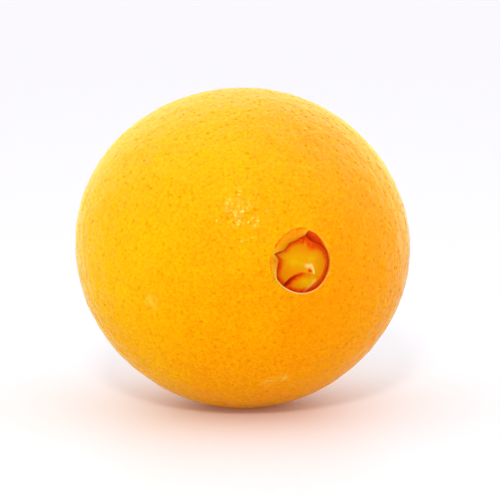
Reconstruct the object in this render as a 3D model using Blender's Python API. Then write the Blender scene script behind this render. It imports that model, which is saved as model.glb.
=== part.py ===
"""A navel orange lying on its side, with the dry stem button still on it.

Metres, +Z up. The fruit rests on a small flat spot at Z = 0. Its navel faces -Y and its stem end +Y,
and the origin is under the middle of its box. Each sub-part is one closed object of its own.
"""

import math

import bmesh
import bpy
from mathutils import Matrix, Vector

MM = 0.001

# The fruit as a whole: an out-of-round body, narrow line and wide line at right angles to its axis
FRUIT_WIDE = 85.0 * MM
FRUIT_NARROW = 81.1 * MM
FRUIT_LENGTH = 83.7 * MM
WIDE_LINE_TURN = math.radians(-10.9)  # seen from the navel, the wide line drops to the right
NAVEL_LIFT = math.radians(3.0)  # how far the navel looks up from level
REST_SPOT_RADIUS = 6.5 * MM
SWELLING = 0.22 * MM  # height of the slow swellings that keep the body from being a true ellipsoid

# The navel: an opening in the rind, its rolled lip, and the small second fruit inside it.
# Turns are in degrees seen from the front, counted from the right over the top.
RIM_RADII = [
    (0, 7.28), (30, 6.98), (60, 7.40), (90, 7.50), (120, 7.25), (150, 7.10),
    (180, 7.50), (210, 7.40), (240, 7.42), (270, 7.83), (300, 7.90), (330, 7.45),
]
# How far the rind reaches in over it: a broad flap at the upper left, a notch, and a narrow tongue
LIP_INSETS = [
    (0, 0.0), (74, 0.0), (78, 1.25), (84, 1.75), (99, 2.40), (122, 2.25), (141, 2.40), (152, 1.75),
    (159, 0.80), (163.5, 0.30), (168, 1.10), (176, 1.95), (189, 1.60), (201, 0.85), (209, 0.25), (215, 0.0),
    (290, 0.0),
]
DEEPEST_INSET = 2.4 * MM
LIP_ROLL = 0.50 * MM  # how far outside the opening the rind starts to bend
LIP_DROP = 0.30 * MM  # how far below the skin the lip's edge lies
LIP_DROP_PER_INSET = 0.45
FLAP_STEP, FLAP_STEP_END = 0.35, 0.14  # the share of its drop that a flap makes at once, at its bend
LIP_UNDERCUT = 0.30 * MM
OPEN_WALL_INSET = 1.8 * MM  # at the upper right the wall slopes in instead, and shows
OPEN_WALL_AT, OPEN_WALL_SPREAD = math.radians(58), math.radians(24)
FRUITLET_TOP = (1.5, -1.5)  # millimetres right and up of the navel's middle
FRUITLET_TOP_DEPTH = 0.80 * MM  # below the skin that would close the opening
FRUITLET_FALL, FRUITLET_REACH = 1.1 * MM, 7.5 * MM  # it falls this much deeper over this distance
CREASE_TUCK = 0.35 * MM  # and dips this much further where it meets the wall
TUCK_FROM = 0.84  # share of the way out to the crease

# Relief on the second fruit, as (right, up) of the navel's middle, seen from the front
FOLD_LINE = [(-4.0, -6.25), (-2.4, -4.3), (-1.3, -3.6), (0.5, -3.05), (2.2, -3.3)]
FOLD_DEPTHS = (1.4 * MM, 0.35 * MM)  # at the line's two ends
FOLD_STEEP_SIDE, FOLD_SOFT_SIDE = 0.40 * MM, 1.25 * MM
STYLE_LINE = [(1.4, -1.25), (2.4, -1.2), (2.8, -1.9), (3.15, -3.0)]  # the hooked stump of the flower
STYLE_HEIGHT = 0.60 * MM
STYLE_WIDTHS = (0.55 * MM, 0.25 * MM)
SEAM_LINE = [(3.7, -4.75), (1.1, -7.55)]  # a fine seam between two lobes
SEAM_HEIGHT, SEAM_WIDTH = 0.20 * MM, 0.26 * MM

# The stem end: a shallow hollow with furrows, and the button of five dry sepals that sits in it
HOLLOW_DEPTH = 2.1 * MM
HOLLOW_WIDTH = math.radians(9.5)
FURROWS = 7
FURROW_DEPTH = 0.25 * MM
BUTTON_RADIUS = 4.6 * MM
SEPALS = 5
SEPAL_NOTCH = 0.20  # share of the radius lost between two sepals
BUTTON_THICKNESS = 1.05 * MM
SEPAL_TIP_THICKNESS = 0.5 * MM
STALK_RADIUS = 1.7 * MM
STALK_HEIGHT = 1.5 * MM
STALK_CUT_DISH = 0.25 * MM
CLEARANCE = 0.3 * MM  # between the button and the rind under it

# How the skin is laid out: as a globe with the navel at one pole, in bands of latitude
SEGMENTS = 90
FRUITLET_EDGE = math.radians(10)
LIP_EDGE = math.radians(16)
WALL_SHARE = 0.4  # of the band between those two
FRUITLET_RINGS, LIP_RINGS, RIND_RINGS = 18, 9, 36
BUTTON_SEGMENTS = 50

RIND_COLOUR = (0.95, 0.36, 0.01, 1.0)
BUTTON_COLOUR = (0.20, 0.19, 0.06, 1.0)


def smooth_step(low, high, value):
    """0 below low, 1 above high, and an S-shaped climb between them."""
    share = min(max((value - low) / (high - low), 0.0), 1.0)
    return share * share * (3.0 - 2.0 * share)


def bell(distance, width):
    """1 at no distance, falling away smoothly over the width."""
    return math.exp(-((distance / width) ** 2))


def body_radius(turn):
    """Half the body's width at its equator, in the direction `turn` round its axis."""
    wide, narrow = FRUIT_WIDE / 2, FRUIT_NARROW / 2
    from_wide = turn - WIDE_LINE_TURN
    return wide * narrow / math.hypot(narrow * math.cos(from_wide), wide * math.sin(from_wide))


def skin_level(radius, turn):
    """Y of the body's closed skin near the navel, at a distance from the axis."""
    return -FRUIT_LENGTH / 2 * math.sqrt(1.0 - (radius / body_radius(turn)) ** 2)


def curve_through(knots, turn):
    """The smooth closed curve through (degrees, millimetres) knots, read at a turn in radians."""
    angle = math.degrees(turn) % 360.0
    wrapped = [(knots[-1][0] - 360.0, knots[-1][1]), *knots, *((a + 360.0, v) for a, v in knots[:2])]
    index = max(i for i in range(1, len(wrapped) - 2) if wrapped[i][0] <= angle)
    (a, before), (b, low), (c, high), (d, after) = wrapped[index - 1 : index + 3]
    share = (angle - b) / (c - b)
    slopes = (c - b) * (high - before) / (c - a), (c - b) * (after - low) / (d - b)
    bend = slopes[0] * share * (1 - share) ** 2 - slopes[1] * share**2 * (1 - share)
    return (low + (high - low) * share**2 * (3 - 2 * share) + bend) * MM


def opening_radius(turn):
    """Where the rind starts to turn into the navel."""
    return curve_through(RIM_RADII, turn)


def lip_inset(turn):
    """How far the flap and the tongue reach in over the navel."""
    return max(curve_through(LIP_INSETS, turn), 0.0)


def lip_edge(turn):
    """Distance from the axis, and depth below the skin, of the lip's inner edge."""
    inset = lip_inset(turn)
    return opening_radius(turn) - inset, LIP_DROP + LIP_DROP_PER_INSET * inset


def crease(turn):
    """The crease round the second fruit, as a point right and up of the navel's middle."""
    edge, drop = lip_edge(turn)
    radius = edge + LIP_UNDERCUT
    radius -= (OPEN_WALL_INSET + LIP_UNDERCUT) * bell(turn - OPEN_WALL_AT, OPEN_WALL_SPREAD)
    return Vector((radius * math.cos(turn), radius * math.sin(turn)))


def fruitlet_depth(point):
    """Depth of the second fruit's dome below the skin that would close the opening."""
    off_top = (point - Vector(FRUITLET_TOP) * MM).length
    return FRUITLET_TOP_DEPTH + FRUITLET_FALL * (off_top / FRUITLET_REACH) ** 3


def beside_line(point, line):
    """Distance to a line of millimetre points, the side it is on (+1 left), and the share gone along."""
    nearest = (math.inf, 1.0, 0.0)
    for index, (start, end) in enumerate(zip(line, line[1:])):
        a, b = Vector(start) * MM, Vector(end) * MM
        along = min(max((point - a).dot(b - a) / (b - a).length_squared, 0.0), 1.0)
        away = point - (a + (b - a) * along)
        if away.length < nearest[0]:
            side = math.copysign(1.0, (b - a).cross(away))
            nearest = (away.length, side, (index + along) / (len(line) - 1))
    return nearest


def fruitlet_relief(point):
    """Height that the fold, the flower's stump and the seam add to the second fruit."""
    distance, side, along = beside_line(point, FOLD_LINE)
    depth = FOLD_DEPTHS[0] + (FOLD_DEPTHS[1] - FOLD_DEPTHS[0]) * along
    fold = depth * bell(distance, FOLD_STEEP_SIDE if side > 0 else FOLD_SOFT_SIDE)
    distance, side, along = beside_line(point, STYLE_LINE)
    style = STYLE_HEIGHT * bell(distance, STYLE_WIDTHS[0] + (STYLE_WIDTHS[1] - STYLE_WIDTHS[0]) * along)
    seam = SEAM_HEIGHT * bell(beside_line(point, SEAM_LINE)[0], SEAM_WIDTH)
    return style + seam - fold


def on_axis_ring(radius, turn, y):
    """The point at a distance from the fruit's axis, a turn round it and a place along it."""
    return Vector((radius * math.cos(turn), y, radius * math.sin(turn)))


def fruitlet_point(share, turn):
    """On the second fruit: share 0 in its middle, 1 in the crease round it."""
    across = share * crease(turn)
    radius = across.length
    tuck = smooth_step(TUCK_FROM, 1.0, share)
    depth = fruitlet_depth(across) + CREASE_TUCK * tuck - fruitlet_relief(across) * (1.0 - tuck)
    return on_axis_ring(radius, turn, skin_level(radius, turn) + depth)


def lip_point(share, turn):
    """On the navel's wall and rolled lip: share 0 in the crease, 1 where the rind starts to bend."""
    edge, drop = lip_edge(turn)
    if share < WALL_SHARE:
        sink = 1.0 - share / WALL_SHARE
        foot = crease(turn)
        radius = edge + (foot.length - edge) * sink**1.3
        depth = drop + (fruitlet_depth(foot) + CREASE_TUCK - drop) * sink
    else:
        roll = (1.0 - (share - WALL_SHARE) / (1.0 - WALL_SHARE)) * math.pi / 2
        inward = math.sin(roll)
        radius = edge + (opening_radius(turn) + LIP_ROLL - edge) * (1.0 - inward)
        slanted = FLAP_STEP * smooth_step(0.0, FLAP_STEP_END, inward) + (1.0 - FLAP_STEP) * inward
        flap = min(lip_inset(turn) / DEEPEST_INSET, 1.0)
        depth = drop * (flap * slanted + (1.0 - flap) * (1.0 - math.cos(roll)))
    return on_axis_ring(radius, turn, skin_level(radius, turn) + depth)


def hollow_drop(from_stem, turn):
    """How far the hollow and its furrows lower the skin, at an angle from the stem end."""
    spread = from_stem / HOLLOW_WIDTH
    furrow_strength = (spread * math.exp(1.0 - spread)) ** 2
    furrow = FURROW_DEPTH * math.cos(FURROWS * turn) * furrow_strength
    return HOLLOW_DEPTH * bell(spread, 1.0) + furrow


def rind_point(share, turn):
    """On the outer rind: share 0 at the lip of the navel, 1 at the stem end."""
    first = math.asin((opening_radius(turn) + LIP_ROLL) / body_radius(turn))
    angle = first + (math.pi - first) * share
    y = -FRUIT_LENGTH / 2 * math.cos(angle) - hollow_drop(math.pi - angle, turn)
    return on_axis_ring(body_radius(turn) * math.sin(angle), turn, y)


def swell(point):
    """Adds the body's slow swellings to a point of the skin."""
    outward = point.normalized()
    x, y, z = outward
    broad = math.sin(3.1 * x + 2.0 * z + 0.8) * math.sin(3.6 * y - 1.1)
    narrow = math.sin(5.2 * z - 3.3 * y + 0.4)
    return point + outward * SWELLING * (broad + 0.5 * narrow)


def skin_point(latitude, turn):
    """The skin at a latitude counted from the navel (0) to the stem end (pi)."""
    turn = turn % math.tau
    if latitude < FRUITLET_EDGE:
        return swell(fruitlet_point(latitude / FRUITLET_EDGE, turn))
    if latitude < LIP_EDGE:
        return swell(lip_point((latitude - FRUITLET_EDGE) / (LIP_EDGE - FRUITLET_EDGE), turn))
    return swell(rind_point((latitude - LIP_EDGE) / (math.pi - LIP_EDGE), turn))


def even_steps(first, last, count):
    """`count` values that lead from first, left out, to last."""
    return [first + (last - first) * (index + 1) / count for index in range(count)]


def closed_round(name, rings, segments, place, colour, roughness):
    """One closed object: a flat disc of rings, each ring then put in its place by `place`.

    The disc is a spoke spun round its end. Ring 0 is its middle and the last ring closes to a point.
    """
    mesh = bmesh.new()
    spoke = [mesh.verts.new((float(index), 0.0, 0.0)) for index in range(len(rings))]
    edges = [mesh.edges.new(pair) for pair in zip(spoke, spoke[1:])]
    full_turn = {"cent": (0, 0, 0), "axis": (0, 0, 1), "angle": math.tau, "steps": segments}
    bmesh.ops.spin(mesh, geom=spoke + edges, use_merge=True, **full_turn)
    for vert in mesh.verts:
        ring = round(vert.co.xy.length)
        vert.co = place(rings[ring], math.atan2(vert.co.y, vert.co.x) if ring else 0.0)
    bmesh.ops.remove_doubles(mesh, verts=mesh.verts, dist=0.001 * MM)
    bmesh.ops.recalc_face_normals(mesh, faces=mesh.faces)
    data = bpy.data.meshes.new(name)
    mesh.to_mesh(data)
    mesh.free()
    data.shade_smooth()
    part = bpy.data.objects.new(name, data)
    bpy.context.scene.collection.objects.link(part)
    material = bpy.data.materials.new(name)
    material.use_nodes = True
    shader = material.node_tree.nodes["Principled BSDF"]
    shader.inputs["Base Color"].default_value = colour
    shader.inputs["Roughness"].default_value = roughness
    shader.inputs["Metallic"].default_value = 0.0
    data.materials.append(material)
    return part


def make_fruit():
    """The whole fruit in one solid: rind, navel and the second fruit that grew together with it."""
    latitudes = [0.0]
    latitudes += even_steps(0.0, FRUITLET_EDGE, FRUITLET_RINGS)
    latitudes += even_steps(FRUITLET_EDGE, LIP_EDGE, LIP_RINGS)
    latitudes += even_steps(LIP_EDGE, math.pi, RIND_RINGS)
    return closed_round("fruit", latitudes, SEGMENTS, skin_point, RIND_COLOUR, 0.38)


def flatten_rest_spot(fruit, turned):
    """Cuts the small flat spot that the fruit lies on, and returns its height below the middle."""
    to_world = turned.to_matrix()
    lowest = min((to_world @ vert.co).z for vert in fruit.data.vertices)
    level = lowest + REST_SPOT_RADIUS**2 / FRUIT_NARROW
    mesh = bmesh.new()
    mesh.from_mesh(fruit.data)
    up = to_world.inverted() @ Vector((0, 0, 1))
    geometry = mesh.verts[:] + mesh.edges[:] + mesh.faces[:]
    plane = {"plane_co": up * level, "plane_no": up}
    cut = bmesh.ops.bisect_plane(mesh, geom=geometry, clear_inner=True, **plane)
    rim = [item for item in cut["geom_cut"] if isinstance(item, bmesh.types.BMEdge)]
    bmesh.ops.contextual_create(mesh, geom=rim)
    bmesh.ops.recalc_face_normals(mesh, faces=mesh.faces)
    mesh.to_mesh(fruit.data)
    mesh.free()
    fruit.data.set_sharp_from_angle(angle=math.radians(60))
    return level


def button_edge(turn):
    """Radius of the five-lobed button."""
    return BUTTON_RADIUS * (1.0 - SEPAL_NOTCH * (0.5 - 0.5 * math.cos(SEPALS * turn)) ** 1.5)


def button_seat(radius, turn):
    """Y of the underside of the button, just clear of the stem hollow."""
    from_stem = math.asin(radius / body_radius(turn))
    y = FRUIT_LENGTH / 2 * math.cos(from_stem) - hollow_drop(from_stem, turn)
    return swell(on_axis_ring(radius, turn, y)).y + CLEARANCE


def button_point(place, turn):
    """A point of the button: `place` is its share of the radius, its side and its height on the stalk."""
    share, side, height = place
    if side == "stalk":
        radius = STALK_RADIUS * share
        base = button_seat(0.0, 0.0) + BUTTON_THICKNESS
        return on_axis_ring(radius, turn, base + height)
    edge = button_edge(turn)
    stalk_share = STALK_RADIUS / edge
    radius = edge * (share if side == "under" else stalk_share + (1.0 - stalk_share) * share)
    thickness = BUTTON_THICKNESS + (SEPAL_TIP_THICKNESS - BUTTON_THICKNESS) * share
    return on_axis_ring(radius, turn, button_seat(radius, turn) + (0.0 if side == "under" else thickness))


def make_stem_button():
    """The dry calyx: five joined sepals round the cut stump of the fruit's stalk."""
    places = [(share, "under", 0.0) for share in (0.0, 0.35, 0.7, 0.9, 1.0)]
    places += [(share, "top", 0.0) for share in (0.97, 0.8, 0.55, 0.3, 0.1)]
    places += [(1.0, "stalk", 0.35 * STALK_HEIGHT), (0.94, "stalk", 0.9 * STALK_HEIGHT)]
    places += [(0.8, "stalk", STALK_HEIGHT), (0.4, "stalk", STALK_HEIGHT - STALK_CUT_DISH)]
    places += [(0.0, "stalk", STALK_HEIGHT - STALK_CUT_DISH)]
    button = closed_round("stem_button", places, BUTTON_SEGMENTS, button_point, BUTTON_COLOUR, 0.75)
    button.data.set_sharp_from_angle(angle=math.radians(50))
    return button


def stand(parts, turned, level):
    """Hangs the parts on one empty that turns the navel up a little and sets the rest spot at Z = 0."""
    corners = [turned.to_matrix() @ vert.co for part in parts for vert in part.data.vertices]
    middle = [(min(c[axis] for c in corners) + max(c[axis] for c in corners)) / 2 for axis in (0, 1)]
    axis = bpy.data.objects.new("orange", None)
    bpy.context.scene.collection.objects.link(axis)
    axis.rotation_euler = turned
    axis.location = (-middle[0], -middle[1], -level)
    for part in parts:
        part.parent = axis


def main():
    for old in list(bpy.data.objects):
        bpy.data.objects.remove(old)
    turned = Matrix.Rotation(-NAVEL_LIFT, 3, "X").to_euler()
    fruit = make_fruit()
    level = flatten_rest_spot(fruit, turned)
    stand([fruit, make_stem_button()], turned, level)


main()
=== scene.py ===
"""A ripe navel orange on a pale surface: its pitted, waxy rind, its open navel and its dry stem button.

Laid out as a Blender add-on and run as a script. Metres, +Z up; the navel faces -Y. The solids of the
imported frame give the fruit's place and size, and the pieces made here stand for them.
"""

import math

import bmesh
import bpy
from mathutils import Matrix, Vector


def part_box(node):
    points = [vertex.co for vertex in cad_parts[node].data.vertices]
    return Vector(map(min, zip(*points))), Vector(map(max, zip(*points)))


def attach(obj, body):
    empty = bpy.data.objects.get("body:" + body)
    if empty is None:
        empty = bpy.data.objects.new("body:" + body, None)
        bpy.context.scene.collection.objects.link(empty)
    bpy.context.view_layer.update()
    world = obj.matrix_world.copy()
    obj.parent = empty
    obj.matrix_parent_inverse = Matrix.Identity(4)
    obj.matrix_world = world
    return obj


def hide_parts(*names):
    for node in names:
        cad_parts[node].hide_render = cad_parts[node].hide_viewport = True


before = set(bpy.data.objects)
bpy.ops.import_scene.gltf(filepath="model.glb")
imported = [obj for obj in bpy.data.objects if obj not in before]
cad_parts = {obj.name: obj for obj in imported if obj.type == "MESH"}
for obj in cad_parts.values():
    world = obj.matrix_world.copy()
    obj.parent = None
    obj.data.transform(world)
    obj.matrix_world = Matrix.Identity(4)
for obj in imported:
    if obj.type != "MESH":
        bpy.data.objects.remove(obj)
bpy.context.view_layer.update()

bl_info = {
    "name": "Navel orange",
    "version": (1, 0, 0),
    "blender": (4, 5, 0),
    "location": "3D View > Sidebar > Orange",
    "description": "Makes a navel orange with a pitted rind, an open navel and a dry stem button",
    "category": "Add Mesh",
}

MM = 0.001

# The fruit's body, as in the solids
FRUIT_WIDE = 85.0 * MM
FRUIT_NARROW = 81.1 * MM
FRUIT_LENGTH = 83.7 * MM
WIDE_LINE_TURN = math.radians(-10.9)
NAVEL_LIFT = math.radians(3.0)
SWELLING = 0.22 * MM

# The navel: an opening in the rind, its rolled lip, and the small second fruit inside it.
# Turns are in degrees seen from the front, counted from the right over the top.
RIM_RADII = [
    (0, 7.28), (30, 6.98), (60, 7.40), (90, 7.50), (120, 7.25), (150, 7.10),
    (180, 7.50), (210, 7.40), (240, 7.42), (270, 7.62), (300, 7.72), (330, 7.42),
]
# How far the rind reaches in over it: a broad flap at the upper left, a notch, and a narrow tongue
LIP_INSETS = [
    (0, 0.0), (74, 0.0), (78, 1.25), (84, 1.75), (99, 2.40), (122, 2.25), (141, 2.40), (152, 1.75),
    (159, 0.80), (163.5, 0.30), (168, 1.10), (176, 1.95), (189, 1.60), (201, 0.85), (209, 0.25), (215, 0.0),
    (290, 0.0),
]
DEEPEST_INSET = 2.4 * MM
LIP_ROLL = 0.50 * MM
LIP_DROP = 0.30 * MM
LIP_DROP_PER_INSET = 0.45
FLAP_STEP, FLAP_STEP_END = 0.35, 0.14
LIP_UNDERCUT = 0.30 * MM
OPEN_WALL_INSET = 1.8 * MM
OPEN_WALL_AT, OPEN_WALL_SPREAD = math.radians(58), math.radians(24)
FRUITLET_TOP = (1.5, -1.5)
FRUITLET_TOP_DEPTH = 0.80 * MM
FRUITLET_FALL, FRUITLET_REACH = 1.1 * MM, 7.5 * MM
CREASE_TUCK = 0.35 * MM
TUCK_FROM = 0.84

# Relief on the second fruit, as millimetres right and up of the navel's middle, seen from the front
FOLD_LINE = [(-4.0, -6.25), (-2.4, -4.3), (-1.3, -3.6), (0.5, -3.05), (2.2, -3.3)]
FOLD_DEPTHS = (1.4 * MM, 0.35 * MM)
FOLD_STEEP_SIDE, FOLD_SOFT_SIDE = 0.40 * MM, 1.25 * MM
STYLE_LINE = [(1.4, -1.25), (2.4, -1.2), (2.8, -1.9), (3.15, -3.0)]
STYLE_HEIGHT = 0.60 * MM
STYLE_WIDTHS = (0.45 * MM, 0.22 * MM)
SEAM_LINE = [(3.7, -4.75), (1.1, -7.55)]
SEAM_HEIGHT, SEAM_WIDTH = 0.20 * MM, 0.26 * MM
HIGHLIGHT_LINE = [(-2.0, 0.2), (2.4, -0.2), (1.6, -4.8)]  # a painted highlight on the dome's middle and its lower lobe
HIGHLIGHT_WIDTH = 2.2 * MM
# A painted shadow beside the style's hook, as millimetre points and its width
STYLE_SHADOW_SPOT = [(2.0, -2.35), (2.4, -2.6)]
STYLE_SHADOW_WIDTH = 0.30 * MM
# Painted shade reddens the second fruit towards the crease, over a band that is wider round two turns: each
# is given by degrees, spread in degrees and extra width
RED_SHADE_WIDTH = 1.7 * MM
WIDER_RED_SHADES = [(45.0, 34.0, 1.6 * MM), (195.0, 35.0, 1.0 * MM)]
TORN_EDGE_AT, TORN_EDGE_SPREAD = math.radians(255), math.radians(48)  # where the pale pith shows most

# Pale scuffs where the rind rubbed on a branch, as millimetres from the object's origin and a width
SCUFFS = [((-32.0, -25.5, 32.2), 1.5), ((-0.4, -30.4, 11.7), 1.3), ((-3.4, -29.1, 10.4), 1.3)]

# The stem end: a shallow hollow with furrows, and the button of five dry sepals that sits in it
HOLLOW_DEPTH = 2.1 * MM
HOLLOW_WIDTH = math.radians(9.5)
FURROWS = 7
FURROW_DEPTH = 0.25 * MM
BUTTON_RADIUS = 4.6 * MM
SEPALS = 5
SEPAL_NOTCH = 0.20
BUTTON_THICKNESS = 1.05 * MM
SEPAL_TIP_THICKNESS = 0.5 * MM
STALK_RADIUS = 1.7 * MM
STALK_HEIGHT = 1.5 * MM
STALK_CUT_DISH = 0.25 * MM
CLEARANCE = 0.3 * MM
BUTTON_STEPS = 150

# Patterns of the rind: how many repeat in a metre, and their detail
CLOUDS = {"Scale": 45.0, "Detail": 3.0}  # broad patches that ripened more or less
FLECKS = {"Scale": 1500.0, "Detail": 2.0}  # the fine grain, 0.7 mm
STREAKS = {"Scale": 800.0, "Detail": 3.0}  # patches of wax and of the navel's painted red shade, 1.3 mm
ROLLS = {"Scale": 290.0, "Detail": 1.0}  # the gentle unevenness that spreads a highlight
SWELLS = {"Scale": 210.0, "Detail": 1.0}  # the unevenness that shows in the outline
UNEVENNESS = 0.40 * MM
RIPENESS_AND_LIGHT_WAY = (1.0, 0.0, -0.5)  # from yellow to orange: ripeness and painted light
YELLOW_UNTIL, ORANGE_FROM = -66 * MM, -10 * MM  # along that way
# The grain's own darkening, and painted shade in the small cells and the pits over the glands
GRAIN_SHADE, PEBBLE_PAINTED_SHADE, PIT_PAINTED_SHADE = 0.34, 0.12, 0.42
PIT_BUMP, ROLL_BUMP = 1.9, 10.0  # times the depth of the pebbles
BLOOM_FROM, FULL_BLOOM = 20 * MM, 80 * MM  # heights between which the wax thickens
THINNEST_BLOOM = 0.08
THIN_WAX_GLOSS, THICK_WAX_GLOSS = 0.04, 0.50
LIGHT_REACH = 16.0 * MM  # how far red light goes through the rind

# The net of the skin: a globe of even triangles with the navel at its pole, finer round the navel
GLOBE_DIVISIONS = 86
NAVEL_NET_EDGE, FINEST_NET_EDGE = math.radians(17), math.radians(13)
FRUITLET_EDGE = math.radians(10)
LIP_EDGE = math.radians(16)
WALL_SHARE = 0.4

# The photograph's view: 500 pixels across, with the fruit a little left of the middle and above it
CAMERA_TURN, CAMERA_RISE = math.radians(-20.15), math.radians(8.2)
CAMERA_DISTANCE = 0.64
MM_PER_PIXEL = 0.2539
FRUIT_CENTRE_PIXEL = (242.8, 246.9)
FRAME_PIXELS = 500
FLOOR_HALF_WIDTH = 4.0
CEILING_RISE = math.radians(75)
SOFTBOX_OFFSET = (-0.31, -0.697, 0.477)  # from the middle of the fruit


def hex_colour(text):
    """A linear colour with alpha from an sRGB hex value."""
    values = [int(text[index : index + 2], 16) / 255 for index in (0, 2, 4)]
    return [v / 12.92 if v <= 0.04045 else ((v + 0.055) / 1.055) ** 2.4 for v in values] + [1.0]


def add_node(tree, kind, sockets=None, **settings):
    """Adds a node with its settings; `sockets` gives each named input a value or another node's output."""
    node = tree.nodes.new(kind)
    for name, value in settings.items():
        setattr(node, name, value)
    for name, value in (sockets or {}).items():
        if isinstance(value, bpy.types.NodeSocket):
            tree.links.new(value, node.inputs[name])
        else:
            node.inputs[name].default_value = value
    return node


def colour_setting(name, description, value):
    """A colour that the panel shows, from an sRGB hex value."""
    return bpy.props.FloatVectorProperty(
        name=name,
        description=description,
        subtype="COLOR",
        size=4,
        min=0.0,
        max=1.0,
        default=hex_colour(value),
    )


class RindSettings(bpy.types.PropertyGroup):
    """Sizes and colours of the rind and of the navel in it."""

    gland_spacing: bpy.props.FloatProperty(
        name="Gland spacing", description="Between two large oil glands", unit="LENGTH", default=1.65 * MM
    )
    gland_depth: bpy.props.FloatProperty(
        name="Gland depth", description="Of the pits over the large glands", unit="LENGTH", default=0.15 * MM
    )
    pebble_size: bpy.props.FloatProperty(
        name="Pebble size", description="Of the cells between the glands", unit="LENGTH", default=1.3 * MM
    )
    pebble_depth: bpy.props.FloatProperty(
        name="Pebble depth", description="Of the small cells", unit="LENGTH", default=0.04 * MM
    )
    roughness: bpy.props.FloatProperty(
        name="Roughness", description="Of the waxy skin", subtype="FACTOR", min=0.0, max=1.0, default=0.17
    )
    # Yellow towards the upper left, orange towards the lower right: partly ripeness, partly painted light
    yellow_side: colour_setting("Yellow side", "Where the rind ripened less", "FCC100")
    orange_side: colour_setting("Orange side", "Where the rind ripened more", "FC9E00")
    # Painted shade in the pits and small cells, and the grain's own darkening
    grain_and_painted_pit_shade: colour_setting("Pit shade", "Darkens the grain and the pits over the oil glands", "DCC68C")
    scuff_colour: colour_setting("Scuffs", "Pale dry marks on the rind", "FFD24C")
    fruitlet_colour: colour_setting("Second fruit", "Inside the navel", "E08600")
    # A painted highlight on the middle and the lower lobe of the second fruit
    fruitlet_highlight_colour: colour_setting("Its middle", "Where it ripened least", "E0B000")
    # Painted shade: red towards the navel's creases, and a deeper red in them
    red_shade_colour: colour_setting("Blush", "Towards the creases of the navel", "DE3C00")
    crease_shade_colour: colour_setting("Crease colour", "Deep in the creases", "C01C00")
    pith_colour: colour_setting("Pith", "At the torn edge of the navel", "FFCF98")


class ButtonSettings(bpy.types.PropertyGroup):
    """Colours of the dry stem button."""

    sepal_colour: colour_setting("Sepals", "Dry green of the calyx", "7B7A3C")
    sepal_edge_colour: colour_setting("Sepal edges", "Brown where it dried first", "5E4526")
    wood_colour: colour_setting("Cut stalk", "Pale wood of the cut face", "C2AB7C")


class StageSettings(bpy.types.PropertyGroup):
    """The pale surface and the light."""

    floor_colour: colour_setting("Floor", "Of the pale surface", "E6EAF0")
    glow_colour: colour_setting("Glow", "Warm light that comes up through the sheet", "FFC8A0")
    floor_glow: bpy.props.FloatProperty(name="Floor glow", description="Its strength", default=0.1)
    studio_colour: colour_setting("Studio", "Of its pale walls and ceiling", "F9F9FB")
    front: bpy.props.FloatProperty(name="Front", description="Brightness of the front half", default=0.75)
    backdrop: bpy.props.FloatProperty(name="Backdrop", description="Its brightness", default=0.91)
    ceiling: bpy.props.FloatProperty(name="Ceiling", description="Its brightness", default=1.27)
    softbox_power: bpy.props.FloatProperty(name="Softbox", description="Watts, above the camera", default=2.8)
    softbox_size: bpy.props.FloatProperty(
        name="Softbox size", description="Of a side", unit="LENGTH", default=0.12
    )


def smooth_step(low, high, value):
    """0 below low, 1 above high, and an S-shaped climb between them."""
    share = min(max((value - low) / (high - low), 0.0), 1.0)
    return share * share * (3.0 - 2.0 * share)


def bell(distance, width):
    """1 at no distance, falling away smoothly over the width."""
    return math.exp(-((distance / width) ** 2))


def body_radius(turn):
    """Half the body's width at its equator, in the direction `turn` round its axis."""
    wide, narrow = FRUIT_WIDE / 2, FRUIT_NARROW / 2
    from_wide = turn - WIDE_LINE_TURN
    return wide * narrow / math.hypot(narrow * math.cos(from_wide), wide * math.sin(from_wide))


def skin_level(radius, turn):
    """Y of the body's closed skin near the navel, at a distance from the axis."""
    return -FRUIT_LENGTH / 2 * math.sqrt(1.0 - (radius / body_radius(turn)) ** 2)


def curve_through(knots, turn):
    """The smooth closed curve through (degrees, millimetres) knots, read at a turn in radians."""
    angle = math.degrees(turn) % 360.0
    wrapped = [(knots[-1][0] - 360.0, knots[-1][1]), *knots, *((a + 360.0, v) for a, v in knots[:2])]
    index = max(i for i in range(1, len(wrapped) - 2) if wrapped[i][0] <= angle)
    (a, before), (b, low), (c, high), (d, after) = wrapped[index - 1 : index + 3]
    share = (angle - b) / (c - b)
    slopes = (c - b) * (high - before) / (c - a), (c - b) * (after - low) / (d - b)
    bend = slopes[0] * share * (1 - share) ** 2 - slopes[1] * share**2 * (1 - share)
    return (low + (high - low) * share**2 * (3 - 2 * share) + bend) * MM


def opening_radius(turn):
    """Where the rind starts to turn into the navel."""
    return curve_through(RIM_RADII, turn)


def lip_inset(turn):
    """How far the flap and the tongue reach in over the navel."""
    return max(curve_through(LIP_INSETS, turn), 0.0)


def lip_edge(turn):
    """Distance from the axis, and depth below the skin, of the lip's inner edge."""
    inset = lip_inset(turn)
    return opening_radius(turn) - inset, LIP_DROP + LIP_DROP_PER_INSET * inset


def crease(turn):
    """The crease round the second fruit, as a point right and up of the navel's middle."""
    edge, drop = lip_edge(turn)
    radius = edge + LIP_UNDERCUT
    radius -= (OPEN_WALL_INSET + LIP_UNDERCUT) * bell(turn - OPEN_WALL_AT, OPEN_WALL_SPREAD)
    return Vector((radius * math.cos(turn), radius * math.sin(turn)))


def fruitlet_depth(point):
    """Depth of the second fruit's dome below the skin that would close the opening."""
    off_top = (point - Vector(FRUITLET_TOP) * MM).length
    return FRUITLET_TOP_DEPTH + FRUITLET_FALL * (off_top / FRUITLET_REACH) ** 3


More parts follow.
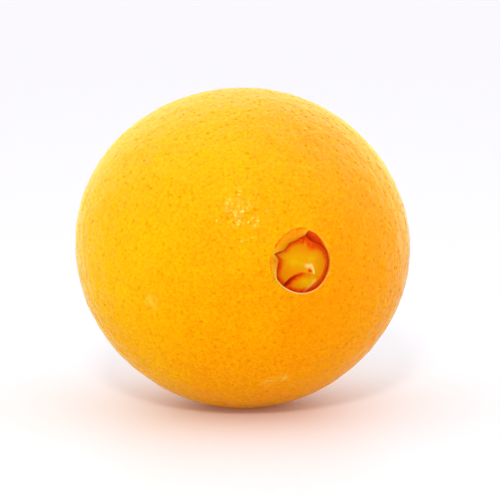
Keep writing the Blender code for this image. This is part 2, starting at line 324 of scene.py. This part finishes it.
def beside_line(point, line):
    """Distance to a line of millimetre points, the side it is on (+1 left), and the share gone along."""
    nearest = (math.inf, 1.0, 0.0)
    for index, (start, end) in enumerate(zip(line, line[1:])):
        a, b = Vector(start) * MM, Vector(end) * MM
        along = min(max((point - a).dot(b - a) / (b - a).length_squared, 0.0), 1.0)
        away = point - (a + (b - a) * along)
        if away.length < nearest[0]:
            side = math.copysign(1.0, (b - a).cross(away))
            nearest = (away.length, side, (index + along) / (len(line) - 1))
    return nearest


def on_axis_ring(radius, turn, y):
    """The point at a distance from the fruit's axis, a turn round it and a place along it."""
    return Vector((radius * math.cos(turn), y, radius * math.sin(turn)))


def fruitlet_point(share, turn):
    """On the second fruit: share 0 in its middle, 1 in the crease. Also its painted light and marks."""
    across = share * crease(turn)
    radius = across.length
    tuck = smooth_step(TUCK_FROM, 1.0, share)
    distance, side, along = beside_line(across, FOLD_LINE)
    fold_width = FOLD_STEEP_SIDE if side > 0 else FOLD_SOFT_SIDE
    fold = (FOLD_DEPTHS[0] + (FOLD_DEPTHS[1] - FOLD_DEPTHS[0]) * along) * bell(distance, fold_width)
    # Painted shade in the fold, fading out on its soft side
    fold_shade = fold / FOLD_DEPTHS[0] * (1.0 if side > 0 else bell(distance, FOLD_SOFT_SIDE))
    distance, side, along = beside_line(across, STYLE_LINE)
    style = bell(distance, STYLE_WIDTHS[0] + (STYLE_WIDTHS[1] - STYLE_WIDTHS[0]) * along)
    # The painted shadow beside the style's hook
    style_shadow = bell(beside_line(across, STYLE_SHADOW_SPOT)[0], STYLE_SHADOW_WIDTH)
    seam = bell(beside_line(across, SEAM_LINE)[0], SEAM_WIDTH)
    relief = STYLE_HEIGHT * style + SEAM_HEIGHT * seam - fold
    depth = fruitlet_depth(across) + CREASE_TUCK * tuck - relief * (1.0 - tuck)
    degrees = math.degrees(turn)
    # Painted shade: red towards the crease, in the corner by it, in the fold and in the style's painted
    # shadow
    band = RED_SHADE_WIDTH + sum(extra * bell(degrees - at, spread) for at, spread, extra in WIDER_RED_SHADES)
    red_shade = smooth_step(-band, -0.3 * band, radius - crease(turn).length)
    corner = 0.75 * tuck + 0.25 * smooth_step(0.93, 1.0, share)
    red = max(0.75 * red_shade, corner, min(1.6 * fold_shade, 1.0), style_shadow)
    # Painted highlight on the dome's middle and its lower lobe
    yellow = bell(beside_line(across, HIGHLIGHT_LINE)[0], HIGHLIGHT_WIDTH)
    point = on_axis_ring(radius, turn, skin_level(radius, turn) + depth)
    return point, (red, 0.25 * seam, 0.7 * style, yellow)


def lip_point(share, turn):
    """On the navel's wall and rolled lip: share 0 in the crease, 1 where the rind starts to bend."""
    edge, drop = lip_edge(turn)
    if share < WALL_SHARE:
        sink = 1.0 - share / WALL_SHARE
        foot = crease(turn)
        radius = edge + (foot.length - edge) * sink**1.3
        depth = drop + (fruitlet_depth(foot) + CREASE_TUCK - drop) * sink
        # Painted shade: the wall is red, deepest at its foot
        red, pith = 0.72 + 0.28 * sink, 0.0
    else:
        roll = (1.0 - (share - WALL_SHARE) / (1.0 - WALL_SHARE)) * math.pi / 2
        inward = math.sin(roll)
        radius = edge + (opening_radius(turn) + LIP_ROLL - edge) * (1.0 - inward)
        slanted = FLAP_STEP * smooth_step(0.0, FLAP_STEP_END, inward) + (1.0 - FLAP_STEP) * inward
        flap = min(lip_inset(turn) / DEEPEST_INSET, 1.0)
        depth = drop * (flap * slanted + (1.0 - flap) * (1.0 - math.cos(roll)))
        # Painted shade: a line along the flap's bend, more as the flap rolls in, and most at the lip's edge
        bend_shade = 0.75 * bell(inward - 0.5 * FLAP_STEP_END, 0.08)
        red = flap * bend_shade + 0.15 * flap * inward + 0.7 * smooth_step(0.88, 1.0, inward)
        torn = 0.12 + 0.88 * bell(turn - TORN_EDGE_AT, TORN_EDGE_SPREAD)
        pith = 0.85 * (1.0 - flap) * torn * bell(inward - 0.66, 0.24)
    return on_axis_ring(radius, turn, skin_level(radius, turn) + depth), (min(red, 1.0), pith, 0.0, 0.0)


def hollow_drop(from_stem, turn):
    """How far the hollow and its furrows lower the skin, at an angle from the stem end."""
    spread = from_stem / HOLLOW_WIDTH
    furrow_strength = (spread * math.exp(1.0 - spread)) ** 2
    furrow = FURROW_DEPTH * math.cos(FURROWS * turn) * furrow_strength
    return HOLLOW_DEPTH * bell(spread, 1.0) + furrow


def rind_point(share, turn):
    """On the outer rind: share 0 at the lip of the navel, 1 at the stem end."""
    first = math.asin((opening_radius(turn) + LIP_ROLL) / body_radius(turn))
    angle = first + (math.pi - first) * share
    y = -FRUIT_LENGTH / 2 * math.cos(angle) - hollow_drop(math.pi - angle, turn)
    return on_axis_ring(body_radius(turn) * math.sin(angle), turn, y), (0.0, 0.0, 0.0, 0.0)


def swell(point):
    """Adds the body's slow swellings to a point of the skin."""
    outward = point.normalized()
    x, y, z = outward
    broad = math.sin(3.1 * x + 2.0 * z + 0.8) * math.sin(3.6 * y - 1.1)
    narrow = math.sin(5.2 * z - 3.3 * y + 0.4)
    return point + outward * SWELLING * (broad + 0.5 * narrow)


def skin_point(latitude, turn):
    """The skin at a latitude from the navel (0) to the stem end (pi), with its marks and painted light."""
    turn = turn % math.tau
    if latitude < FRUITLET_EDGE:
        point, marks = fruitlet_point(latitude / FRUITLET_EDGE, turn)
    elif latitude < LIP_EDGE:
        point, marks = lip_point((latitude - FRUITLET_EDGE) / (LIP_EDGE - FRUITLET_EDGE), turn)
    else:
        point, marks = rind_point((latitude - LIP_EDGE) / (math.pi - LIP_EDGE), turn)
    return swell(point), marks


def link_piece(name, mesh):
    """A new object at the origin for a finished mesh."""
    piece = bpy.data.objects.new(name, mesh)
    bpy.context.scene.collection.objects.link(piece)
    return piece


def globe_net():
    """Even triangles on a unit globe whose pole at -Y is the navel, split finer there."""
    net = bmesh.new()
    bmesh.ops.create_icosphere(net, subdivisions=1, radius=1.0)
    bmesh.ops.subdivide_edges(net, edges=net.edges, cuts=GLOBE_DIVISIONS - 1, use_grid_fill=True)
    for limit in (NAVEL_NET_EDGE, FINEST_NET_EDGE):
        for vert in net.verts:
            vert.co.normalize()
        near = [edge for edge in net.edges if all(-vert.co.y > math.cos(limit) for vert in edge.verts)]
        bmesh.ops.subdivide_edges(net, edges=near, cuts=1, use_grid_fill=True)
    bmesh.ops.triangulate(net, faces=net.faces)
    return net


def skin_mesh(name):
    """The fruit's smooth skin, in the place of its solid."""
    net = globe_net()
    # Painted shade, painted highlight, and the pale pith and style of the navel
    marks_layer = net.verts.layers.float_color.new("navel_painted_light_and_marks")
    pitted_layer = net.verts.layers.float.new("pitted")
    scuffed_layer = net.verts.layers.float.new("scuffed")
    lift = Matrix.Rotation(-NAVEL_LIFT, 3, "X")
    for vert in net.verts:
        x, y, z = vert.co.normalized()
        latitude = math.acos(min(max(-y, -1.0), 1.0))
        point, marks = skin_point(latitude, math.atan2(z, x))
        vert[marks_layer] = marks
        vert[pitted_layer] = smooth_step(FRUITLET_EDGE + 0.4 * (LIP_EDGE - FRUITLET_EDGE), LIP_EDGE, latitude)
        vert.co = lift @ point
    low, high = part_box("fruit")
    corners = [[pick(vert.co[axis] for vert in net.verts) for axis in range(3)] for pick in (min, max)]
    middle = [(low[axis] + high[axis] - corners[0][axis] - corners[1][axis]) / 2 for axis in (0, 1)]
    bmesh.ops.translate(net, verts=net.verts, vec=(*middle, high[2] - corners[1][2]))
    for vert in net.verts:
        vert[scuffed_layer] = max(bell((vert.co / MM - Vector(spot)).length, width) for spot, width in SCUFFS)
    bmesh.ops.recalc_face_normals(net, faces=net.faces)
    mesh = bpy.data.meshes.new(name)
    net.to_mesh(mesh)
    net.free()
    mesh.shade_smooth()
    return mesh


def rind_cells(tree, position, gland_scale, pebble_scale):
    """Two patterns of the rind: pits over its large oil glands, and the pebbles of its small cells.

    Each is 1 deep in a pit and 0 on the ridges between; a scale is one divided by the spacing. The same
    nodes serve the shape and the painted shade in the colour, so both have their pits in the same places.
    """
    glands = add_node(tree, "ShaderNodeTexVoronoi", {"Vector": position, "Scale": gland_scale})
    distance = glands.outputs["Distance"]
    pit = {"Value": distance, "From Min": 0.08, "From Max": 0.36, "To Min": 1.0, "To Max": 0.0}
    round_pit = add_node(tree, "ShaderNodeMapRange", pit, interpolation_type="SMOOTHSTEP").outputs[0]
    luck = add_node(tree, "ShaderNodeMapRange", {"Value": glands.outputs["Color"], "To Min": 0.6}).outputs[0]
    large = add_node(tree, "ShaderNodeMath", {0: round_pit, 1: luck}, operation="MULTIPLY").outputs[0]
    to_ridge = add_node(
        tree, "ShaderNodeTexVoronoi", {"Vector": position, "Scale": pebble_scale}, feature="DISTANCE_TO_EDGE"
    ).outputs["Distance"]
    dome = {"Value": to_ridge, "From Max": 0.42}
    pebble = add_node(tree, "ShaderNodeMapRange", dome, interpolation_type="SMOOTHSTEP").outputs[0]
    return large, pebble


def rind_tree(settings, material):
    """Geometry Nodes that press the pits of the glands and a slow unevenness into the rind."""
    tree = bpy.data.node_groups.new("rind pits", "GeometryNodeTree")
    tree.interface.new_socket("Geometry", in_out="INPUT", socket_type="NodeSocketGeometry")
    values = {
        "Gland spacing": settings.gland_spacing,
        "Gland depth": settings.gland_depth,
        "Pebble size": settings.pebble_size,
        "Pebble depth": settings.pebble_depth / 2,
        "Unevenness": UNEVENNESS,
    }
    for name, value in values.items():
        tree.interface.new_socket(name, in_out="INPUT", socket_type="NodeSocketFloat").default_value = value
    tree.interface.new_socket("Geometry", in_out="OUTPUT", socket_type="NodeSocketGeometry")
    given = tree.nodes.new("NodeGroupInput").outputs
    position = add_node(tree, "GeometryNodeInputPosition").outputs[0]
    normal = add_node(tree, "GeometryNodeInputNormal").outputs[0]
    scales = [
        add_node(tree, "ShaderNodeMath", {0: 1.0, 1: given[size]}, operation="DIVIDE").outputs[0]
        for size in ("Gland spacing", "Pebble size")
    ]
    large, pebble = rind_cells(tree, position, *scales)
    swells = add_node(tree, "ShaderNodeTexNoise", {"Vector": position, **SWELLS}).outputs[0]
    swells = add_node(tree, "ShaderNodeMath", {0: swells, 1: 0.42}, operation="SUBTRACT").outputs[0]
    depth = 0.0
    for pattern, amount in ((large, "Gland depth"), (pebble, "Pebble depth"), (swells, "Unevenness")):
        terms = {0: pattern, 1: given[amount], 2: depth}
        depth = add_node(tree, "ShaderNodeMath", terms, operation="MULTIPLY_ADD").outputs[0]
    pitted = add_node(tree, "GeometryNodeInputNamedAttribute", {"Name": "pitted"}, data_type="FLOAT")
    terms = {0: depth, 1: pitted.outputs[0]}
    depth = add_node(tree, "ShaderNodeMath", terms, operation="MULTIPLY").outputs[0]
    inward = add_node(tree, "ShaderNodeMath", {0: depth, 1: -1.0}, operation="MULTIPLY").outputs[0]
    offset = add_node(tree, "ShaderNodeVectorMath", {0: normal, "Scale": inward}, operation="SCALE")
    moved = {"Geometry": given["Geometry"], "Offset": offset.outputs[0]}
    pressed = add_node(tree, "GeometryNodeSetPosition", moved)
    real = add_node(tree, "GeometryNodeRealizeInstances", {"Geometry": pressed.outputs[0]})
    dressed = add_node(tree, "GeometryNodeSetMaterial", {"Geometry": real.outputs[0], "Material": material})
    add_node(tree, "NodeGroupOutput", {"Geometry": dressed.outputs[0]})
    return tree, values


def baked_by_nodes(piece, tree, values):
    """Runs a node tree on a piece and leaves the result as its plain mesh."""
    modifier = piece.modifiers.new("shape", "NODES")
    modifier.node_group = tree
    for item in tree.interface.items_tree:
        if item.in_out == "INPUT" and item.name in values:
            modifier[item.identifier] = values[item.name]
    graph = bpy.context.evaluated_depsgraph_get()
    result = bpy.data.meshes.new_from_object(piece.evaluated_get(graph), depsgraph=graph)
    piece.modifiers.remove(modifier)
    piece.data = result
    result.shade_smooth()
    return piece


def rind_material(settings):
    """Citrus rind under its natural wax: yellow to orange, darker in its grain, with painted shade in its
    pits.

    The yellow to orange is partly ripeness and partly painted light from the upper left. The wax is patchy,
    so it mirrors a light in glints, and its dry bloom is thicker towards the top, where the rind looks paler.
    Light goes well into the rind, so its shadows are warm. In the navel painted shade deepens the colour to
    red towards the creases and where the folds close, a painted highlight lightens the second fruit's middle,
    and the torn edge of the pith is a thin pale line.
    """
    material = bpy.data.materials.new("waxy citrus rind")
    material.use_nodes = True
    tree = material.node_tree
    shader = tree.nodes["Principled BSDF"]
    position = add_node(tree, "ShaderNodeTexCoord").outputs["Object"]
    large, pebble = rind_cells(tree, position, 1 / settings.gland_spacing, 1 / settings.pebble_size)
    cloud, fleck, streak, rolling = (
        add_node(tree, "ShaderNodeTexNoise", {"Vector": position, **pattern}).outputs[0]
        for pattern in (CLOUDS, FLECKS, STREAKS, ROLLS)
    )
    # The navel's painted red shade, its pith and style, and in the alpha its painted highlight
    marks = add_node(tree, "ShaderNodeAttribute", attribute_name="navel_painted_light_and_marks")
    red, pith, style = add_node(tree, "ShaderNodeSeparateColor", {0: marks.outputs["Color"]}).outputs[:3]
    pitted, scuffed = (
        add_node(tree, "ShaderNodeAttribute", attribute_name=name).outputs["Fac"]
        for name in ("pitted", "scuffed")
    )

    # The wax is missing in the deep pits, and its bloom is thicker higher up
    clear = {"Value": large, "From Max": 0.8, "To Min": 1.0, "To Max": 0.0}
    clear = add_node(tree, "ShaderNodeMapRange", clear).outputs[0]
    height = add_node(tree, "ShaderNodeSeparateXYZ", {0: position}).outputs["Z"]
    bloom = {"Value": height, "From Min": BLOOM_FROM, "From Max": FULL_BLOOM, "To Min": THINNEST_BLOOM}
    bloom = add_node(tree, "ShaderNodeMapRange", bloom, interpolation_type="SMOOTHSTEP").outputs[0]
    waxed = add_node(tree, "ShaderNodeMath", {0: clear, 1: bloom}, operation="MULTIPLY").outputs[0]

    # The painted highlight, the scuffs, the painted red shade and the gloss, which the streaks break up: each
    # has an amount between the streaks and one in them
    streak = {"Value": streak, "From Min": 0.35, "From Max": 0.65}
    streak = add_node(tree, "ShaderNodeMapRange", streak).outputs[0]
    broken_up = (
        (marks.outputs["Alpha"], 0.5, 1.0),
        (scuffed, 0.0, 1.0),
        (red, 1.25, 0.7),
        (waxed, THIN_WAX_GLOSS, THICK_WAX_GLOSS),
    )
    broken = []
    for mark, between, within in broken_up:
        amount = {"Value": streak, "To Min": between, "To Max": within}
        amount = add_node(tree, "ShaderNodeMapRange", amount).outputs[0]
        broken.append(add_node(tree, "ShaderNodeMath", {0: mark, 1: amount}, operation="MULTIPLY").outputs[0])
    yellow, scuffed, uneven_red_shade, gloss = broken

    # Ripeness and painted light from the upper left go across the fruit, with clouds and flecks in it
    across = add_node(tree, "ShaderNodeVectorMath", {0: position, 1: RIPENESS_AND_LIGHT_WAY}, operation="DOT_PRODUCT")
    ripeness_and_light = {"Value": across.outputs["Value"], "From Min": YELLOW_UNTIL, "From Max": ORANGE_FROM}
    ripeness_and_light = add_node(tree, "ShaderNodeMapRange", ripeness_and_light, clamp=False).outputs[0]
    for pattern in (cloud, fleck):
        centred = add_node(tree, "ShaderNodeMath", {0: pattern, 1: 0.5}, operation="SUBTRACT").outputs[0]
        terms = {0: centred, 1: ripeness_and_light}
        ripeness_and_light = add_node(tree, "ShaderNodeMath", terms, operation="ADD", use_clamp=True).outputs[0]
    # The grain's own mottling, and painted shade in the small cells and the pits over the glands
    shade = {"Value": fleck, "From Min": 0.38, "From Max": 0.66, "To Max": GRAIN_SHADE}
    shade = add_node(tree, "ShaderNodeMapRange", shade).outputs[0]
    for pattern, amount in ((pebble, PEBBLE_PAINTED_SHADE), (large, PIT_PAINTED_SHADE)):
        terms = {0: pattern, 1: amount, 2: shade}
        shade = add_node(tree, "ShaderNodeMath", terms, operation="MULTIPLY_ADD", use_clamp=True).outputs[0]
    rind = {0: ripeness_and_light, 6: settings.yellow_side, 7: settings.orange_side}
    rind = add_node(tree, "ShaderNodeMix", rind, data_type="RGBA").outputs[2]
    shaded = {0: shade, 6: rind, 7: settings.grain_and_painted_pit_shade}
    colour = add_node(tree, "ShaderNodeMix", shaded, data_type="RGBA", blend_type="MULTIPLY").outputs[2]
    inside = add_node(tree, "ShaderNodeMath", {0: 1.0, 1: pitted}, operation="SUBTRACT").outputs[0]
    # Painted shade: red towards the navel's creases, and a deeper red in them
    red_shade = add_node(tree, "ShaderNodeMapRange", {"Value": uneven_red_shade, "From Max": 0.75}).outputs[0]
    deep = add_node(tree, "ShaderNodeMapRange", {"Value": red, "From Min": 0.75}).outputs[0]
    # Over the rind: scuffs, the second fruit, its painted highlight, the painted red shade, the pith and the
    # style
    layers = (
        (scuffed, settings.scuff_colour),
        (inside, settings.fruitlet_colour),
        (yellow, settings.fruitlet_highlight_colour),
        (red_shade, settings.red_shade_colour),
        (deep, settings.crease_shade_colour),
        (pith, settings.pith_colour),
        (style, settings.pith_colour),
    )
    for share, layer in layers:
        colour = add_node(tree, "ShaderNodeMix", {0: share, 6: colour, 7: layer}, data_type="RGBA").outputs[2]

    relief = pebble
    for pattern, amount in ((large, PIT_BUMP), (rolling, ROLL_BUMP)):
        terms = {0: pattern, 1: amount, 2: relief}
        relief = add_node(tree, "ShaderNodeMath", terms, operation="MULTIPLY_ADD").outputs[0]
    relief = add_node(tree, "ShaderNodeMath", {0: relief, 1: pitted}, operation="MULTIPLY").outputs[0]
    bumps = {"Height": relief, "Distance": settings.pebble_depth}
    normal = add_node(tree, "ShaderNodeBump", bumps, invert=True).outputs[0]

    linked = (
        ("Base Color", colour),
        ("Normal", normal),
        ("Sheen Weight", waxed),
        ("Specular IOR Level", gloss),
    )
    for name, value in linked:
        tree.links.new(value, shader.inputs[name])
    shader.inputs["Roughness"].default_value = settings.roughness
    shader.inputs["IOR"].default_value = 1.42
    shader.inputs["Specular Tint"].default_value = hex_colour("FFDC9C")
    shader.inputs["Sheen Roughness"].default_value = 0.5
    shader.inputs["Sheen Tint"].default_value = hex_colour("FFF04C")
    shader.inputs["Subsurface Weight"].default_value = 0.9
    shader.inputs["Subsurface Radius"].default_value = (1.0, 0.2, 0.02)
    shader.inputs["Subsurface Scale"].default_value = LIGHT_REACH
    return material


def button_edge(turn):
    """Radius of the five-lobed button."""
    return BUTTON_RADIUS * (1.0 - SEPAL_NOTCH * (0.5 - 0.5 * math.cos(SEPALS * turn)) ** 1.5)


def button_seat(radius, turn):
    """Y of the rind of the stem hollow, at a distance from the axis."""
    from_stem = math.asin(radius / body_radius(turn))
    y = FRUIT_LENGTH / 2 * math.cos(from_stem) - hollow_drop(from_stem, turn)
    return swell(on_axis_ring(radius, turn, y)).y


def button_point(ring, turn):
    """A point of the button's skin and its marks (edge, wood), ring by ring from under its middle."""
    part, share = ring
    edge = button_edge(turn)
    if part == "under":
        radius = edge * share
        return on_axis_ring(radius, turn, button_seat(radius, turn)), (share**3, 0.0)
    if part == "sepal":
        stalk_share = STALK_RADIUS / edge
        radius = edge * (stalk_share + (1.0 - stalk_share) * share)
        lobe = 0.5 + 0.5 * math.cos(SEPALS * turn)
        vein = 0.12 * MM * math.cos(3 * SEPALS * turn) * share * (1.0 - share**3)
        curl = 0.25 * MM * lobe * smooth_step(0.6, 1.0, share)
        thickness = BUTTON_THICKNESS + (SEPAL_TIP_THICKNESS - BUTTON_THICKNESS) * share
        height = CLEARANCE + thickness - 0.25 * MM * (1.0 - lobe) * share + vein + curl
        return on_axis_ring(radius, turn, button_seat(radius, turn) + height), (share**3, 0.0)
    base = button_seat(0.0, 0.0) + CLEARANCE + BUTTON_THICKNESS
    if part == "stalk":
        radius = STALK_RADIUS * (1.0 - 0.06 * share) * (1.0 + 0.03 * math.cos(9 * turn))
        return on_axis_ring(radius, turn, base + STALK_HEIGHT * share), (0.3, 0.0)
    radius = STALK_RADIUS * 0.94 * share
    dish = STALK_CUT_DISH * (1.0 - share**4) - 0.05 * MM * math.cos(6 * math.pi * share)
    return on_axis_ring(radius, turn, base + STALK_HEIGHT - dish), (0.0, 1.0 - share**6)


def button_mesh(name, material):
    """The dry button as one closed skin, spun ring by ring, in the place of its solid."""
    rings = [("under", index / 12) for index in range(13)]
    rings += [("sepal", 1.0 - index / 22) for index in range(1, 23)]
    rings += [("stalk", share) for share in (0.08, 0.25, 0.5, 0.75, 0.92, 1.0)]
    rings += [("cut", 1.0 - index / 14) for index in range(1, 15)]
    skin = bmesh.new()
    marks_layer = skin.verts.layers.float_color.new("button_marks")
    lift = Matrix.Rotation(-NAVEL_LIFT, 3, "X")
    spoke = [skin.verts.new((float(index), 0.0, 0.0)) for index in range(len(rings))]
    edges = [skin.edges.new(pair) for pair in zip(spoke, spoke[1:])]
    full_turn = {"cent": (0, 0, 0), "axis": (0, 0, 1), "angle": math.tau, "steps": BUTTON_STEPS}
    bmesh.ops.spin(skin, geom=spoke + edges, use_merge=True, **full_turn)
    for vert in skin.verts:
        ring = round(vert.co.xy.length)
        point, marks = button_point(rings[ring], math.atan2(vert.co.y, vert.co.x) if ring else 0.0)
        vert[marks_layer] = (*marks, 0.0, 1.0)
        vert.co = lift @ point
    bmesh.ops.remove_doubles(skin, verts=skin.verts, dist=0.001 * MM)
    bmesh.ops.recalc_face_normals(skin, faces=skin.faces)
    low, high = (Vector(corner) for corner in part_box("stem_button"))
    centre = (low + high) / 2
    lowest, highest = (
        Vector([pick(vert.co[axis] for vert in skin.verts) for axis in range(3)]) for pick in (min, max)
    )
    shift = centre - (lowest + highest) / 2
    shift.y = high.y - highest.y
    bmesh.ops.translate(skin, verts=skin.verts, vec=shift)
    mesh = bpy.data.meshes.new(name)
    skin.to_mesh(mesh)
    skin.free()
    mesh.materials.append(material)
    mesh.shade_smooth()
    return mesh


def button_material(settings):
    """Calyx dried on the tree: dull green-brown, wrinkled, browner at its edges; pale where it was cut."""
    material = bpy.data.materials.new("sun-dried calyx")
    material.use_nodes = True
    tree = material.node_tree
    shader = tree.nodes["Principled BSDF"]
    position = add_node(tree, "ShaderNodeTexCoord").outputs["Object"]
    marks = add_node(tree, "ShaderNodeAttribute", attribute_name="button_marks")
    edge, wood = add_node(tree, "ShaderNodeSeparateColor", {0: marks.outputs["Color"]}).outputs[:2]
    wrinkle = {"Vector": position, "Scale": 1400.0, "Detail": 4.0, "Distortion": 0.6}
    wrinkle = add_node(tree, "ShaderNodeTexNoise", wrinkle).outputs[0]
    blotch = {"Vector": position, "Scale": 380.0, "Detail": 2.0}
    blotch = add_node(tree, "ShaderNodeTexNoise", blotch).outputs[0]
    patchy = {"Value": blotch, "From Min": 0.42, "From Max": 0.68}
    patchy = add_node(tree, "ShaderNodeMapRange", patchy).outputs[0]
    brown = add_node(tree, "ShaderNodeMath", {0: patchy, 1: edge}, operation="MAXIMUM").outputs[0]
    sepals = {0: brown, 6: settings.sepal_colour, 7: settings.sepal_edge_colour}
    sepals = add_node(tree, "ShaderNodeMix", sepals, data_type="RGBA").outputs[2]
    dry = add_node(tree, "ShaderNodeMix", {0: wood, 6: sepals, 7: settings.wood_colour}, data_type="RGBA")
    tree.links.new(dry.outputs[2], shader.inputs["Base Color"])
    bump = add_node(tree, "ShaderNodeBump", {"Height": wrinkle, "Distance": 0.12 * MM, "Strength": 0.8})
    tree.links.new(bump.outputs[0], shader.inputs["Normal"])
    shader.inputs["Roughness"].default_value = 0.78
    shader.inputs["Specular IOR Level"].default_value = 0.3
    return material


class ORANGE_OT_fruit(bpy.types.Operator):
    """Makes the whole fruit: pitted rind, navel and the second fruit in it"""

    bl_idname = "orange.fruit"
    bl_label = "Make the fruit"

    def execute(self, context):
        settings = context.scene.orange_rind
        piece = link_piece("rind_and_navel", skin_mesh("rind_and_navel"))
        tree, values = rind_tree(settings, rind_material(settings))
        baked_by_nodes(piece, tree, values)
        low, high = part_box("fruit")
        for vert in piece.data.vertices:
            vert.co = [min(max(vert.co[axis], low[axis]), high[axis]) for axis in range(3)]
        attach(piece, "root")
        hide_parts("fruit")
        return {"FINISHED"}


class ORANGE_OT_button(bpy.types.Operator):
    """Makes the dry stem button with the cut stump of the stalk"""

    bl_idname = "orange.button"
    bl_label = "Make the stem button"

    def execute(self, context):
        mesh = button_mesh("dry_button", button_material(context.scene.orange_button))
        piece = link_piece("dry_button", mesh)
        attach(piece, "root")
        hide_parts("stem_button")
        return {"FINISHED"}


class ORANGE_OT_stage(bpy.types.Operator):
    """Sets the pale surface, the soft light and the camera at the photograph's angle"""

    bl_idname = "orange.stage"
    bl_label = "Set the stage"

    def execute(self, context):
        settings = context.scene.orange_stage
        scene = context.scene
        scene.view_settings.view_transform = "Standard"
        self.floor(settings)
        self.studio(scene, settings)
        low, high = (Vector(corner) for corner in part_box("fruit"))
        centre = (low + high) / 2
        self.softbox(settings, centre)
        self.camera(scene, centre)
        return {"FINISHED"}

    def floor(self, settings):
        """A wide satin sheet with a faint warm glow."""
        mesh = bpy.data.meshes.new("pale_surface")
        half = FLOOR_HALF_WIDTH
        corners = [(-half, -half, 0.0), (half, -half, 0.0), (half, half, 0.0), (-half, half, 0.0)]
        mesh.from_pydata(corners, [], [(0, 1, 2, 3)])
        material = bpy.data.materials.new("satin white sheet")
        material.use_nodes = True
        shader = material.node_tree.nodes["Principled BSDF"]
        shader.inputs["Base Color"].default_value = settings.floor_colour
        shader.inputs["Roughness"].default_value = 0.45
        shader.inputs["Specular IOR Level"].default_value = 0.3
        shader.inputs["Emission Color"].default_value = settings.glow_colour
        shader.inputs["Emission Strength"].default_value = settings.floor_glow
        mesh.materials.append(material)
        link_piece("pale_surface", mesh)

    def studio(self, scene, settings):
        """A pale studio: a bright backdrop and ceiling, and a dimmer half in front of the fruit."""
        scene.world = bpy.data.worlds.new("pale studio")
        scene.world.use_nodes = True
        tree = scene.world.node_tree
        shader = tree.nodes["Background"]
        shader.inputs["Color"].default_value = settings.studio_colour
        direction = add_node(tree, "ShaderNodeTexCoord").outputs["Generated"]
        ahead = Vector((-math.sin(CAMERA_TURN), math.cos(CAMERA_TURN), 0.0))
        overhead = ahead * math.cos(CEILING_RISE) + Vector((0.0, 0.0, math.sin(CEILING_RISE)))
        strength = settings.front
        for towards, edges, brightness in (
            (ahead, (0.60, 0.92), settings.backdrop),
            (overhead, (0.10, 0.95), settings.ceiling),
        ):
            terms = {0: direction, 1: towards}
            facing = add_node(tree, "ShaderNodeVectorMath", terms, operation="DOT_PRODUCT").outputs["Value"]
            terms = {"Value": facing, "From Min": edges[0], "From Max": edges[1], "To Min": strength}
            terms["To Max"] = brightness
            strength = add_node(tree, "ShaderNodeMapRange", terms, interpolation_type="SMOOTHSTEP").outputs[0]
        tree.links.new(strength, shader.inputs["Strength"])

    def softbox(self, settings, centre):
        """A soft light above the camera, which the wax mirrors in glints."""
        data = bpy.data.lights.new("softbox", "AREA")
        data.shape = "SQUARE"
        data.size = settings.softbox_size
        data.energy = settings.softbox_power
        light = link_piece("softbox", data)
        light.location = centre + Vector(SOFTBOX_OFFSET)
        light.rotation_euler = Vector(SOFTBOX_OFFSET).to_track_quat("Z", "Y").to_euler()

    def camera(self, scene, centre):
        """A camera at the photograph's angle, with the fruit at its place in the frame."""
        turn, rise = CAMERA_TURN, CAMERA_RISE
        back = Vector((math.sin(turn) * math.cos(rise), -math.cos(turn) * math.cos(rise), math.sin(rise)))
        right = Vector((math.cos(turn), math.sin(turn), 0.0))
        up = back.cross(right)
        off_x, off_y = (FRAME_PIXELS / 2 - pixel for pixel in FRUIT_CENTRE_PIXEL)
        aim = centre + (right * off_x - up * off_y) * MM_PER_PIXEL * MM
        data = bpy.data.cameras.new("camera")
        data.sensor_width = 36.0
        data.lens = data.sensor_width * CAMERA_DISTANCE / (FRAME_PIXELS * MM_PER_PIXEL * MM)
        data.clip_start = 0.02
        camera = link_piece("camera", data)
        camera.location = aim + back * CAMERA_DISTANCE
        camera.rotation_euler = back.to_track_quat("Z", "Y").to_euler()
        scene.camera = camera


class ORANGE_PT_panel(bpy.types.Panel):
    """Lists the steps and their settings"""

    bl_idname = "ORANGE_PT_panel"
    bl_label = "Navel orange"
    bl_space_type = "VIEW_3D"
    bl_region_type = "UI"
    bl_category = "Orange"

    def draw(self, context):
        groups = (
            (context.scene.orange_rind, ORANGE_OT_fruit),
            (context.scene.orange_button, ORANGE_OT_button),
            (context.scene.orange_stage, ORANGE_OT_stage),
        )
        for group, operator in groups:
            for name in group.bl_rna.properties.keys():
                if name not in {"rna_type", "name"}:
                    self.layout.prop(group, name)
            self.layout.operator(operator.bl_idname)


CLASSES = (
    RindSettings, ButtonSettings, StageSettings,
    ORANGE_OT_fruit, ORANGE_OT_button, ORANGE_OT_stage, ORANGE_PT_panel,
)


def register():
    for entry in CLASSES:
        bpy.utils.register_class(entry)
    bpy.types.Scene.orange_rind = bpy.props.PointerProperty(type=RindSettings)
    bpy.types.Scene.orange_button = bpy.props.PointerProperty(type=ButtonSettings)
    bpy.types.Scene.orange_stage = bpy.props.PointerProperty(type=StageSettings)


def unregister():
    del bpy.types.Scene.orange_rind
    del bpy.types.Scene.orange_button
    del bpy.types.Scene.orange_stage
    for entry in reversed(CLASSES):
        bpy.utils.unregister_class(entry)


def main():
    register()
    bpy.ops.orange.fruit()
    bpy.ops.orange.button()
    bpy.ops.orange.stage()


if __name__ == "__main__":
    main()
